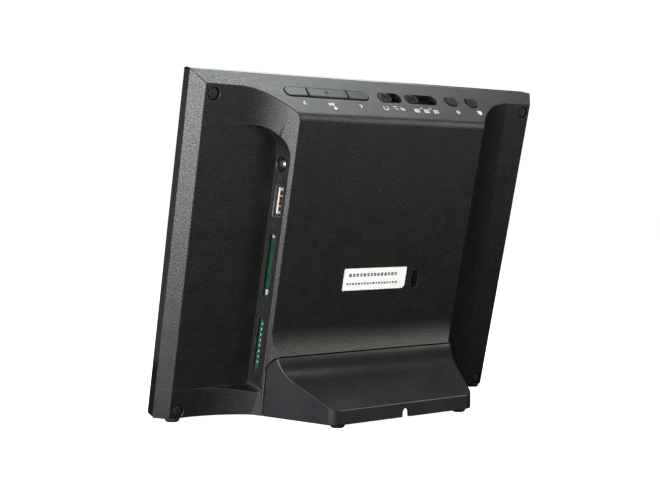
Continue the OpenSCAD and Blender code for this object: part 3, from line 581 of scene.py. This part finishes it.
label_low, label_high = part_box("label")
label_right, label_left = label_low.x / MM, label_high.x / MM  # as seen from behind
label_bottom = face_height(label_low.z, BACK + LABEL_T)
label_top = face_height(label_high.z, BACK)


def dashes(start, v, widths, height, gap):
    """A row of dashes that runs to the right as seen from behind."""
    outlines = []
    for width in widths:
        outlines.append(box(start - width / 2, v, width, height))
        start -= width + gap
    return outlines


sheet = [(label_right + CUT_CORNER, label_bottom), (label_left - CORNER, label_bottom),
         (label_left, label_bottom + CORNER), (label_left, label_top - CORNER),
         (label_left - CORNER, label_top), (label_right + CORNER, label_top),
         (label_right, label_top - CORNER), (label_right, label_bottom + CUT_CORNER)]
lines = (dashes(label_left - 2.6, label_top - 3.1, UPPER_DASHES, 1.5, 0.62)
         + dashes(label_left - 1.8, label_bottom + 3.0, LOWER_DASHES, 1.0, 0.55))
piece("label_sheet", prisms("label_sheet", [sheet], 0.0, LABEL_T, on_back),
      "label_white", "shell", "label")
piece("label_lines", prisms("label_lines", lines, *INK_HEIGHTS, on_back),
      "print_grey", "shell")


# ---------------------------------------------------------------- stage
def floor_white():
    """Near-white paper that also glows, so that the ground is white all round the object."""
    shader = Shader("floor_white")
    tone = shader.span(shader.noise(400, 2), *NOISE_SPREAD, 0.0, 1.0)
    shader.feed("Base Color", shader.mix(tone, (0.90, 0.90, 0.90), (0.93, 0.93, 0.93)))
    shader.put("Roughness", 0.9)
    shader.put("Specular IOR Level", 0.1)
    shader.put("Emission Color", (1, 1, 1, 1))
    shader.put("Emission Strength", 1.0)
    return shader.material


def make_floor(half_size):
    """The pale floor, which lights nothing and shows in no reflection."""
    bm = bmesh.new()
    bmesh.ops.create_grid(bm, x_segments=2, y_segments=2, size=half_size)
    mesh = bpy.data.meshes.new("floor")
    bm.to_mesh(mesh)
    bm.free()
    floor = bpy.data.objects.new("floor", mesh)
    scene.collection.objects.link(floor)
    floor.data.materials.append(floor_white())
    floor.visible_glossy = False
    floor.visible_diffuse = False


def make_world():
    """White surroundings that only the camera sees: the light comes from the softboxes."""
    world = bpy.data.worlds.new("studio")
    world.use_nodes = True
    background = world.node_tree.nodes["Background"]
    background.inputs["Color"].default_value = (1.0, 1.0, 1.0, 1)
    background.inputs["Strength"].default_value = 1.05
    world.cycles_visibility.diffuse = False
    world.cycles_visibility.glossy = False
    scene.world = world


make_floor(half_size=6.0)
make_world()
scene.view_settings.view_transform = "Standard"


# ---------------------------------------------------------------- lights
# the faces named are those that mirror the camera's view of them nearest to that softbox
def softbox(name, where, towards, size, radiance, colour=(1, 1, 1)):
    """A rectangular light of even radiance that the camera doesn't see, in metres."""
    light = bpy.data.lights.new(name, "AREA")
    light.shape = "RECTANGLE"
    light.size, light.size_y = size
    light.energy = radiance * math.pi * size[0] * size[1]
    light.color = colour
    lamp = bpy.data.objects.new(name, light)
    lamp.location = where
    aim = Vector(towards) - Vector(where)
    lamp.rotation_euler = aim.to_track_quat("-Z", "Y").to_euler()
    lamp.visible_camera = False
    scene.collection.objects.link(lamp)


# the key slope
softbox("top_box", (-0.40, 0.00, 1.10), (0, 0, 0.14), (0.50, 0.36), 18.0, (0.93, 0.97, 1.0))
# the bend where the block runs into the stand's ramp
softbox("rear_box", (-0.52, 0.66, 0.38), (0, 0.03, 0.08), (0.44, 0.12), 20.0, (1.0, 0.98, 0.90))
# the stand's side
softbox("side_box", (0.62, 0.10, 0.14), (0.09, 0.0, 0.13), (0.24, 0.28), 28.0, (0.97, 0.98, 1.0))
# the near flank and the cover's side bevel
softbox("side_low", (0.60, 0.46, 0.12), (0.06, 0.0, 0.12), (0.44, 0.24), 17.0, (0.98, 0.98, 1.0))
# the flat faces of the back and the stand's rear edge
softbox("low_fill", (-0.52, 0.95, 0.06), (0, 0.03, 0.10), (0.5, 0.30), 3.0, (1.0, 1.0, 0.97))
# none of them: a broad fill from the camera's own side
softbox("camera_fill", (0.70, 1.35, 0.45), (0, 0, 0.08), (1.2, 0.9), 1.4)
# the bezel's side and the port wall
softbox("far_fill", (0.50, -1.0, 0.35), (0, 0, 0.08), (1.6, 1.0), 0.20)
# the stand's ramp and the far flank
softbox("ramp_box", (-0.70, -0.90, 0.66), (0, 0, 0.14), (0.9, 0.36), 1.5, (0.96, 0.98, 1.0))

# ---------------------------------------------------------------- camera
CAMERA_PLACE = (302.937, 418.585, 94.889)  # in millimetres, behind the object on the ports' side
CAMERA_TURN = (87.6413, -0.1333, 145.8292)  # degrees about x, y and z

lens = bpy.data.cameras.new("camera")
lens.sensor_fit = "HORIZONTAL"
lens.sensor_width = 36.0
lens.lens = 62.48
lens.clip_start = 0.01
camera = bpy.data.objects.new("camera", lens)
camera.location = Vector(CAMERA_PLACE) * MM
camera.rotation_euler = [math.radians(angle) for angle in CAMERA_TURN]
scene.collection.objects.link(camera)
scene.camera = camera
